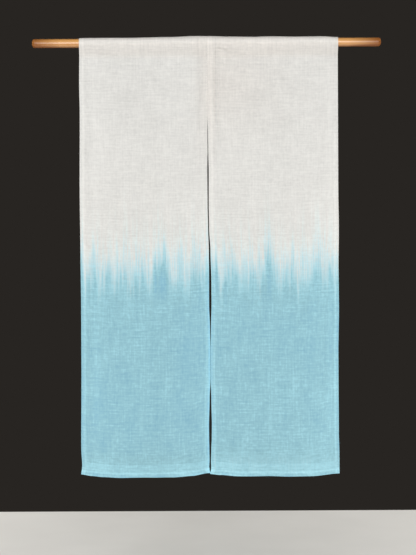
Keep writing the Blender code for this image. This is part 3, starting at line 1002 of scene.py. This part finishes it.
def yarn_noise(tree, plane, yarns):
    """Noise stretched along the warp or the weft, moved to run from -0.5 to 0.5."""
    scale = (yarns.per_metre_across, yarns.per_metre_down, 1.0)
    placed = node(tree, "ShaderNodeMapping", {"Vector": plane, "Scale": scale})
    noise = node(
        tree, "ShaderNodeTexNoise",
        {"Vector": placed.outputs[0], "Scale": 1.0, "Detail": yarns.detail, "Roughness": 0.6},
        noise_dimensions="2D",
    )
    return math_node(tree, "SUBTRACT", noise.outputs["Fac"], 0.5)


def weighted_sum(tree, sockets, weights, start):
    """start plus each socket times its weight, as a chain of multiply-adds. Sockets past the last weight
    stay out."""
    total = start
    for socket, weight in zip(sockets, weights):
        total = math_node(tree, "MULTIPLY_ADD", socket, weight, total)
    return total


def plain_weave(tree, plane):
    """Height of a plain weave. Warp and weft are rows of rounded ridges, sines squared, and the product
    of the two sines says at each crossing which one lies on top."""
    split = node(tree, "ShaderNodeSeparateXYZ", {"Vector": plane})
    warp = math_node(tree, "SINE", math_node(tree, "MULTIPLY", split.outputs[0], math.pi / WARP_PITCH))
    weft = math_node(tree, "SINE", math_node(tree, "MULTIPLY", split.outputs[1], math.pi / WEFT_PITCH))
    on_top = math_node(tree, "MULTIPLY_ADD", math_node(tree, "MULTIPLY", warp, weft), 0.5, 0.5)
    warp_ridge = math_node(tree, "MULTIPLY", warp, warp)
    weft_ridge = math_node(tree, "MULTIPLY", weft, weft)
    mixed = node(tree, "ShaderNodeMix", {0: on_top, 2: weft_ridge, 3: warp_ridge}, data_type="FLOAT")
    return mixed.outputs[0]


def linen_material():
    """Linen whose colour, slubs and weave follow the cloth's flat map and its dye, layers_and_painted_light
    and warmth values. The second lightens the colour for layers behind the cloth, and lightens or darkens it
    as painted light and painted shade. Yarns take the dye unevenly where it is half through: the share of
    that is four times the dye times what is left undyed, which is 1 at the half and 0 at both ends."""
    material, tree, shader = blank_material("linen_dip_dyed")
    plane = node(tree, "ShaderNodeUVMap", uv_map="cloth").outputs[0]
    dye, layers_and_painted_light, warmth = (
        node(tree, "ShaderNodeAttribute", attribute_name=title).outputs["Fac"]
        for title in ("dye", "layers_and_painted_light", "warmth")
    )
    noises = [yarn_noise(tree, plane, yarns) for yarns in YARNS]

    half_dyed = math_node(tree, "MULTIPLY", dye, math_node(tree, "SUBTRACT", 1.0, dye))
    half_dyed = math_node(tree, "MULTIPLY", math_node(tree, "MAXIMUM", half_dyed, 0.0), 4.0)
    unevenness = weighted_sum(tree, noises, [yarns.dye for yarns in YARNS], 0.0)
    mottle = weighted_sum(tree, noises, [yarns.colour for yarns in YARNS], 0.0)
    dyed_mottle = math_node(tree, "MULTIPLY", mottle, dye)
    amount = math_node(tree, "MULTIPLY_ADD", half_dyed, unevenness, dye)
    amount = math_node(tree, "MULTIPLY_ADD", dyed_mottle, -THICK_YARNS_PALER, amount)
    share = math_node(tree, "DIVIDE", amount, MOST_DYE)
    ramp = node(tree, "ShaderNodeValToRGB", {"Fac": share})
    stops = ramp.color_ramp.elements
    while len(stops) < len(DYE_COLOURS):
        stops.new(1.0)
    for stop, chosen in zip(stops, DYE_COLOURS):
        stop.position = chosen.amount / MOST_DYE
        stop.color = seen_colour(chosen.red, chosen.green, chosen.blue)

    warmed = node(
        tree, "ShaderNodeMix", {0: warmth, 6: ramp.outputs["Color"], 7: WARM},
        data_type="RGBA", blend_type="MULTIPLY",
    )
    # The layers value, with its painted light and painted shade, sets how much lighter or darker the colour
    # is.
    lighter = math_node(tree, "MULTIPLY_ADD", dye, LIGHTER_FOR_LAYERS_AND_PAINT_DYED, LIGHTER_FOR_LAYERS_AND_PAINT)
    shown = math_node(tree, "MULTIPLY_ADD", dyed_mottle, YARNS_SHOW_DYED, mottle)
    light = math_node(tree, "ADD", math_node(tree, "MULTIPLY_ADD", layers_and_painted_light, lighter, shown), 1.0)
    coloured = node(tree, "ShaderNodeHueSaturation", {"Color": warmed.outputs[2], "Value": light})
    tree.links.new(coloured.outputs[0], shader.inputs["Base Color"])

    slubs = weighted_sum(tree, noises, SLUB_HEIGHTS, plain_weave(tree, plane))
    bump = node(tree, "ShaderNodeBump", {"Height": slubs, "Strength": 0.5, "Distance": 0.00025})
    tree.links.new(bump.outputs[0], shader.inputs["Normal"])
    shader.inputs["Roughness"].default_value = 0.92
    shader.inputs["Specular IOR Level"].default_value = 0.2
    shader.inputs["Sheen Weight"].default_value = 0.08
    shader.inputs["Sheen Roughness"].default_value = 0.5
    return material


linen = linen_material()
print("linen:", len(linen.node_tree.nodes), "nodes")

# %% [markdown]
# ## The two panels
#
# A panel is a closed shell: its outer face, an inner face set back by the thickness along the normals, and
# a narrow rim that joins them on all four sides. One grid carries the whole shell if its rows run along the
# outer face and its columns go on round the rim, but two grids and a strip round them are easier to read.
# A Solidify modifier could set the inner face back too, with the thickness in a vertex group, but here that
# is known for each point, and the rim can be rounded with it.

# %% Build the panels
LINES_TAKE_LESS = 0.07
RIMS_TAKE_MORE = 0.07
RIM_REACH = 0.0095


def shell_faces(rows, columns):
    """Faces of an outer grid, of an inner grid numbered after it and turned to face the other way, and of
    the strip that joins their borders."""
    count = rows * columns
    outer = grid_faces(rows, columns)
    inner = grid_faces(rows, columns, first=count)[:, ::-1]
    numbers = np.arange(count).reshape(rows, columns)
    border = np.concatenate([numbers[0, :-1], numbers[:-1, -1], numbers[-1, :0:-1], numbers[:0:-1, 0]])
    following = np.roll(border, -1)
    rim = np.stack([border, following, following + count, border + count], axis=-1)
    return np.vstack([outer, inner, rim])


def build_panel(panel):
    """The panel's closed shell with its flat map and its dye, layers_and_painted_light and warmth values."""
    outer, thickness = panel_face(panel)
    rows, columns = thickness.shape
    inner = outer - grid_normals(outer) * thickness[..., None]
    places = np.broadcast_to(column_places(panel)[None, :], thickness.shape)
    depth = -outer[..., 2]
    across = places / panel.width
    from_bottom = -between_rows(panel.lower_line, "height", across) - depth
    lines = np.max(sewn_lines(panel, places, from_bottom), axis=0)
    from_edge = np.minimum(np.minimum(places, panel.width - places), from_bottom)
    rims = within(RIM_REACH, from_edge, past=0.0, soft=0.004)

    steps = np.linalg.norm(np.diff(outer[:, columns // 2], axis=0), axis=-1)
    along = np.concatenate([[0.0], np.cumsum(steps)])
    flat = np.dstack([places, -np.broadcast_to(along[:, None], places.shape)])
    values = {
        "dye": dye_amount(panel, places, depth) * (1.0 - LINES_TAKE_LESS * lines + RIMS_TAKE_MORE * rims),
        "layers_and_painted_light": layers_and_painted_light_at(panel, places, from_bottom, depth),
        "warmth": warmth_at(panel, places, depth),
    }
    both = {title: np.concatenate([amounts, amounts]) for title, amounts in values.items()}
    points = np.concatenate([outer, inner])
    faces = shell_faces(rows, columns)
    cloth = mesh_object("cloth_" + panel.name, points, faces, both, np.concatenate([flat, flat]))
    cloth.data.materials.append(linen)
    return cloth, along[-1]


cloth_left, left_length = build_panel(LEFT)
cloth_right, right_length = build_panel(RIGHT)
for cloth, length in ((cloth_left, left_length), (cloth_right, right_length)):
    print(f"{cloth.name}: {len(cloth.data.polygons)} faces, {length:.3f} m along its middle")

# %% [markdown]
# ## Sewing thread
#
# Hems and pocket are closed with a plain row of machine stitches, about three millimetres long. Each one
# is a short arched capsule: rings of five points that swell and narrow along an arch. All stitches of a
# row are worked out at once, because each is the same small table of points set on its place, its
# direction and its normal. Thousands of small curves would be slower to make and heavier. The thread was
# dipped with the cloth, so it carries the dye of its place.

# %% Rows of stitches
NUDGE = 1e-4
STITCH_PITCH = 0.0034
STITCH_LENGTH = 0.0029
THREAD_RADIUS = 0.00024
ARCH = 0.00022
RING_SHARES = np.array([-1.0, -0.72, 0.0, 0.72, 1.0])
RING_SWELLS = np.array([0.35, 0.95, 1.0, 0.95, 0.35])
RING_SIDES = 5
SewnRow = namedtuple("SewnRow", "centres directions normals amounts")


def pocket_back(panel, across, down):
    """The back of the pocket from its stitch line down, for shares across and of the way down. A single
    layer lies nearer to the front there than a hemmed one."""
    from_side = np.minimum(across, 1.0 - across) * panel.width
    thickness = np.maximum(thickness_at(from_side, FAR_FROM_EDGE), SINGLE)
    z = -STITCH_DEPTH - down * (CLOTH_DROP - STITCH_DEPTH)
    return shaped(panel, across, -FRONT_FACE - 2.0 * (HEMMED - thickness), z, 0.0)


def sewn_row(panel, across, down, side=1, set_back=0.0, face_at=hanging_face):
    """Stitch places along a line on a face. The direction comes from the places before and after, and the
    normal from the face a nudge to the right and a nudge below. side is 1 for the front and -1 for the
    back, and set_back is how far behind the face the row lies."""
    across, down = np.broadcast_arrays(np.atleast_2d(across), np.atleast_2d(down))
    here = face_at(panel, across, down)[0]
    right = face_at(panel, across + NUDGE, down)[0] - here
    below = face_at(panel, across, down + NUDGE)[0] - here
    normals = np.cross(below, right)
    normals = normals / np.linalg.norm(normals, axis=-1, keepdims=True)
    directions = np.gradient(here, axis=0)
    directions = directions / np.linalg.norm(directions, axis=-1, keepdims=True)
    amounts = dye_amount(panel, across[0] * panel.width, -here[:, 2])
    return SewnRow(here - normals * set_back, directions, normals * side, amounts)


def stitch_rows(panel):
    """The rows of one panel: both side hems, the lower hem and the pocket, on the front and the back."""
    length = CLOTH_DROP - STITCH_DEPTH
    in_hem = (SIDE_HEM - GROOVE_IN) / panel.width
    lower = 1.0 - (BOTTOM_HEM - GROOVE_IN) / length
    upright = np.arange(STITCH_PITCH, length * lower, STITCH_PITCH) / length
    level = np.arange(STITCH_PITCH, panel.width - STITCH_PITCH / 2, STITCH_PITCH) / panel.width
    rows = []
    for side, set_back in ((1, 0.0), (-1, HEMMED)):
        rows.append(sewn_row(panel, in_hem, upright, side, set_back))
        rows.append(sewn_row(panel, 1.0 - in_hem, upright, side, set_back))
        rows.append(sewn_row(panel, level, lower, side, set_back))
    rows.append(sewn_row(panel, level, 0.0))
    rows.append(sewn_row(panel, level, 0.0, side=-1, face_at=pocket_back))
    return rows


def stitches(name, rows):
    """All stitches of the rows as one mesh. A point of a stitch is its centre, plus its share of the
    length along the direction, plus the arch and the ring's height along the normal, plus the ring's
    breadth to the side."""
    centres, directions, normals, amounts = (np.concatenate(parts) for parts in zip(*rows))
    sideways = np.cross(directions, normals)
    rings = len(RING_SHARES)
    turn = np.arange(RING_SIDES) * 2 * math.pi / RING_SIDES
    along = np.repeat(RING_SHARES, RING_SIDES) * STITCH_LENGTH / 2
    swell = np.repeat(RING_SWELLS, RING_SIDES) * THREAD_RADIUS
    arch = np.repeat(ARCH * (1.0 - RING_SHARES**2), RING_SIDES)
    up = arch + swell * np.tile(np.sin(turn), rings)
    wide = swell * np.tile(np.cos(turn), rings)
    points = (
        centres[:, None]
        + along[None, :, None] * directions[:, None]
        + up[None, :, None] * normals[:, None]
        + wide[None, :, None] * sideways[:, None]
    )
    ring = np.arange(RING_SIDES)
    following = np.roll(ring, -1)
    starts = np.arange(rings - 1)[:, None] * RING_SIDES
    band = [starts + ring, starts + ring + RING_SIDES, starts + following + RING_SIDES, starts + following]
    quads = np.stack(band, axis=-1).reshape(-1, 4)
    caps = np.stack([ring, (ring + (rings - 1) * RING_SIDES)[::-1]])
    offsets = (np.arange(len(centres)) * len(along))[:, None, None]
    faces = (quads[None] + offsets).reshape(-1, 4).tolist()
    faces += (caps[None] + offsets).reshape(-1, RING_SIDES).tolist()
    thread = mesh_object(name, points, faces, {"dye": np.repeat(amounts, len(along))})
    print(f"{name}: {len(centres)} stitches, {len(faces)} faces")
    return thread


thread_left = stitches("thread_left", stitch_rows(LEFT))
thread_right = stitches("thread_right", stitch_rows(RIGHT))

# %% [markdown]
# ## The thread's finish
#
# The thread is spun and a touch smoother than the linen. Its colour runs through the same dye, but it takes
# less of it, so it reads as a fine lighter line in the blue.

# %% The thread material
THREAD_TAKES = 0.85
THREAD_COLOURS = (seen_colour(236, 233, 227), seen_colour(160, 209, 221))
TWIST_DARKEST = 0.85
TWIST_SHOWS = 0.3


def thread_material():
    """Twisted thread: undyed to fully dyed in two tones, with very fine noise for its twist."""
    material, tree, shader = blank_material("sewing_thread")
    dye = node(tree, "ShaderNodeAttribute", attribute_name="dye").outputs["Fac"]
    place = node(tree, "ShaderNodeTexCoord").outputs["Object"]
    twist = node(tree, "ShaderNodeTexNoise", {"Vector": place, "Scale": 2400.0, "Detail": 1.0})
    dyed = two_tone(tree, math_node(tree, "MULTIPLY", dye, THREAD_TAKES), THREAD_COLOURS)
    value = math_node(tree, "MULTIPLY_ADD", twist.outputs["Fac"], TWIST_SHOWS, TWIST_DARKEST)
    coloured = node(tree, "ShaderNodeHueSaturation", {"Color": dyed, "Value": value})
    tree.links.new(coloured.outputs[0], shader.inputs["Base Color"])
    bump = node(tree, "ShaderNodeBump", {"Height": twist.outputs["Fac"], "Strength": 0.4, "Distance": 0.0001})
    tree.links.new(bump.outputs[0], shader.inputs["Normal"])
    shader.inputs["Roughness"].default_value = 0.7
    return material


sewing_thread = thread_material()
for thread in (thread_left, thread_right):
    thread.data.materials.append(sewing_thread)
print("thread finish on", thread_left.name, "and", thread_right.name)

# %% [markdown]
# ## The rod
#
# The rod is a turned dowel of pale hardwood with rounded ends. It is a profile carried round an axis: the
# radius follows a quarter circle at each end and stays level between, and every ring is a circle. Rings
# stand close together at the ends and further apart along the level part. A cylinder with bevelled edges
# would look much the same, but from a profile each end's rings are known by number, for the end grain.

# %% Turn the rod
ROD_ROUNDING = 0.009
END_RINGS = (0.0020, 0.0040)
END_GRAIN_RINGS = 4
ROD_SIDES = 96
ROUNDING_STEPS = 10
LEVEL_STEPS = 60


def rod_profile():
    """Distance along the rod and radius: out along the flat end, a quarter circle, level, and back."""
    turn = np.linspace(0.0, math.pi / 2, ROUNDING_STEPS + 1)
    flat = np.array([[0.0, radius] for radius in END_RINGS])
    rounding = np.column_stack([
        ROD_ROUNDING * (1.0 - np.sin(turn)[::-1]),
        ROD_RADIUS - ROD_ROUNDING + ROD_ROUNDING * np.cos(turn)[::-1],
    ])
    start = np.vstack([flat, rounding])
    length = rod_high[0] - rod_low[0]
    level = np.linspace(ROD_ROUNDING, length - ROD_ROUNDING, LEVEL_STEPS + 1)[1:-1]
    end = np.column_stack([length - start[:, 0], start[:, 1]])[::-1]
    return np.vstack([start, np.column_stack([level, np.full(len(level), ROD_RADIUS)]), end])


def turned_rod(name):
    """Each ring is the profile's radius times the cosine and sine of the turn, and each end closes on a
    single point at the axis. The faces of the rounded ends take the second material, and the end grain
    is 1 on the first rings from the axis, at each end."""
    along, radius = rod_profile().T
    turn = np.arange(ROD_SIDES) * 2 * math.pi / ROD_SIDES
    rings = np.dstack([
        np.broadcast_to(rod_low[0] + along[:, None], (len(along), ROD_SIDES)),
        radius[:, None] * np.cos(turn),
        radius[:, None] * np.sin(turn),
    ])
    count = rings.shape[0] * ROD_SIDES
    points = np.vstack([rings.reshape(-1, 3), [[rod_low[0], 0.0, 0.0], [rod_high[0], 0.0, 0.0]]])
    closed = np.arange(count).reshape(-1, ROD_SIDES)
    closed = np.hstack([closed, closed[:, :1]])
    corners = [closed[:-1, :-1], closed[:-1, 1:], closed[1:, 1:], closed[1:, :-1]]
    sides = np.stack(corners, axis=-1).reshape(-1, 4)[:, ::-1]
    first, last = closed[0], closed[-1]
    near = np.column_stack([first[:-1], np.full(ROD_SIDES, count), first[1:]])
    far = np.column_stack([last[1:], np.full(ROD_SIDES, count + 1), last[:-1]])
    end_grain = np.zeros(len(points))
    end_grain[:ROD_SIDES * END_GRAIN_RINGS] = 1.0
    end_grain[count - ROD_SIDES * END_GRAIN_RINGS:] = 1.0
    dowel = mesh_object(name, points, sides.tolist() + near.tolist() + far.tolist(), {"end_grain": end_grain})
    sawn = np.ones(len(dowel.data.polygons), np.int32)
    end_faces = ROD_SIDES * (ROUNDING_STEPS + len(END_RINGS))
    sawn[end_faces:len(sides) - end_faces] = 0
    dowel.data.polygons.foreach_set("material_index", sawn)
    return dowel


rod_dowel = turned_rod("rod_dowel")
print("rod:", len(rod_dowel.data.polygons), "faces,", round(float(rod_high[0] - rod_low[0]), 4), "m long")

# %% [markdown]
# ## Varnished wood
#
# The grain runs along the rod: noise stretched lengthwise gives the broad bands, and a much finer one gives
# the pores. On the sawn ends the same bands show as growth rings. A satin varnish is the shader's coat over
# a slightly rough wood, and the sanded ends were left bare. Towards both ends the colour is darkened as a
# painted shadow, and along the underside as painted shade, and the coat thins there, which dims the
# highlight.

# %% The wood material
WOOD_COLOURS = (seen_colour(206, 136, 68), seen_colour(250, 190, 113))
GRAIN_SCALE = (1.6, 75.0, 130.0)
PORE_SCALE = (22.0, 900.0, 900.0)
PORES_SHOW = 0.35
PITH = (0.0, 0.011, 0.016)
# Painted shadow over the last part of each end and painted shade along the underside: a darker tone, and a
# thinner coat that dims the highlight there.
PAINTED_SHADE_TONE = (0.40, 0.28, 0.21, 1.0)
SHADE_LEFT_FROM = 0.098
SHADE_RIGHT_FROM = 0.112
SHADE_FULL_AT = 0.012
SHADE_LEFT_MOST = 0.90
SHADE_BENEATH_MOST = 0.90
BENEATH_FROM = -0.6
COAT_THINS_IN_SHADE = 0.75


def coming_in(tree, measure, starts, full, most):
    """0 where the measure is at starts, in a straight line to most where it is full, and level outside."""
    inputs = {"Value": measure, "From Min": starts, "From Max": full, "To Max": most}
    return node(tree, "ShaderNodeMapRange", inputs).outputs[0]


def wood_material(name, roughness, varnish):
    """Grain from two stretched noises on the object's own coordinates, rings on the ends, a painted shade
    tone that comes in over the last part of each end and below, and a coat where varnish is 1, thinner in
    that shade."""
    material, tree, shader = blank_material(name)
    place = node(tree, "ShaderNodeTexCoord").outputs["Object"]
    stretched = node(tree, "ShaderNodeMapping", {"Vector": place, "Scale": GRAIN_SCALE}).outputs[0]
    bands = node(
        tree, "ShaderNodeTexNoise",
        {"Vector": stretched, "Scale": 1.0, "Detail": 5.0, "Distortion": 0.6},
    )
    fine = node(tree, "ShaderNodeMapping", {"Vector": place, "Scale": PORE_SCALE}).outputs[0]
    pores = node(tree, "ShaderNodeTexNoise", {"Vector": fine, "Scale": 1.0, "Detail": 2.0}).outputs["Fac"]
    from_pith = node(tree, "ShaderNodeMapping", {"Vector": place, "Location": PITH}).outputs[0]
    rings = node(
        tree, "ShaderNodeTexWave",
        {"Vector": from_pith, "Scale": 170.0, "Distortion": 1.2, "Detail": 2.0, "Detail Scale": 0.4},
        wave_type="RINGS", rings_direction="X",
    )
    end_grain = node(tree, "ShaderNodeAttribute", attribute_name="end_grain").outputs["Fac"]
    grain = node(
        tree, "ShaderNodeMix",
        {0: end_grain, 2: bands.outputs["Fac"], 3: rings.outputs["Fac"]}, data_type="FLOAT",
    ).outputs[0]
    grain = math_node(tree, "MULTIPLY_ADD", math_node(tree, "SUBTRACT", pores, 0.5), PORES_SHOW, grain)
    grain_colour = two_tone(tree, grain, WOOD_COLOURS, starts=0.25, ends=0.75)

    split = node(tree, "ShaderNodeSeparateXYZ", {"Vector": place})
    x, z = split.outputs[0], split.outputs[2]
    low, high = float(rod_low[0]), float(rod_high[0])
    # Painted shadow towards each end, and painted shade along the underside.
    shade_to_left = coming_in(tree, x, low + SHADE_LEFT_FROM, low + SHADE_FULL_AT, SHADE_LEFT_MOST)
    shade_to_right = coming_in(tree, x, high - SHADE_RIGHT_FROM, high - SHADE_FULL_AT, 1.0)
    below = coming_in(tree, z, BENEATH_FROM * ROD_RADIUS, -ROD_RADIUS, SHADE_BENEATH_MOST)
    painted_shade = math_node(tree, "ADD", math_node(tree, "ADD", shade_to_left, shade_to_right), below)
    shaded = node(
        tree, "ShaderNodeMix", {0: painted_shade, 6: grain_colour, 7: PAINTED_SHADE_TONE},
        data_type="RGBA", blend_type="MULTIPLY",
    )
    tree.links.new(shaded.outputs[2], shader.inputs["Base Color"])
    bump = node(tree, "ShaderNodeBump", {"Height": pores, "Strength": 0.25, "Distance": 0.0002})
    tree.links.new(bump.outputs[0], shader.inputs["Normal"])
    shader.inputs["Roughness"].default_value = roughness
    shader.inputs["Specular IOR Level"].default_value = 0.5
    if varnish:
        # The coat thins under the painted shadow and shade, so the highlight dims there too.
        coat = math_node(tree, "MULTIPLY_ADD", painted_shade, -COAT_THINS_IN_SHADE * varnish, varnish)
        tree.links.new(coat, shader.inputs["Coat Weight"])
    shader.inputs["Coat Roughness"].default_value = 0.40
    shader.inputs["Coat IOR"].default_value = 2.15
    return material


rod_dowel.data.materials.append(wood_material("varnished_wood", roughness=0.40, varnish=1.0))
rod_dowel.data.materials.append(wood_material("bare_wood", roughness=0.85, varnish=0.0))
print("wood grain along x, with rings on the ends")

# %% [markdown]
# ## Every piece in its place
#
# Each piece rides on the one body that a curtain without joints has. The two cloths and the rod stand for
# the plain pieces that they replace, and the thread goes with its cloth.

for cloth, thread, panel, length in (
    (cloth_left, thread_left, LEFT, left_length),
    (cloth_right, thread_right, RIGHT, right_length),
):
    for piece in (cloth, thread):
        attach(piece, "root")
    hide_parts("panel_" + panel.name)
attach(rod_dowel, "root")
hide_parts("rod")
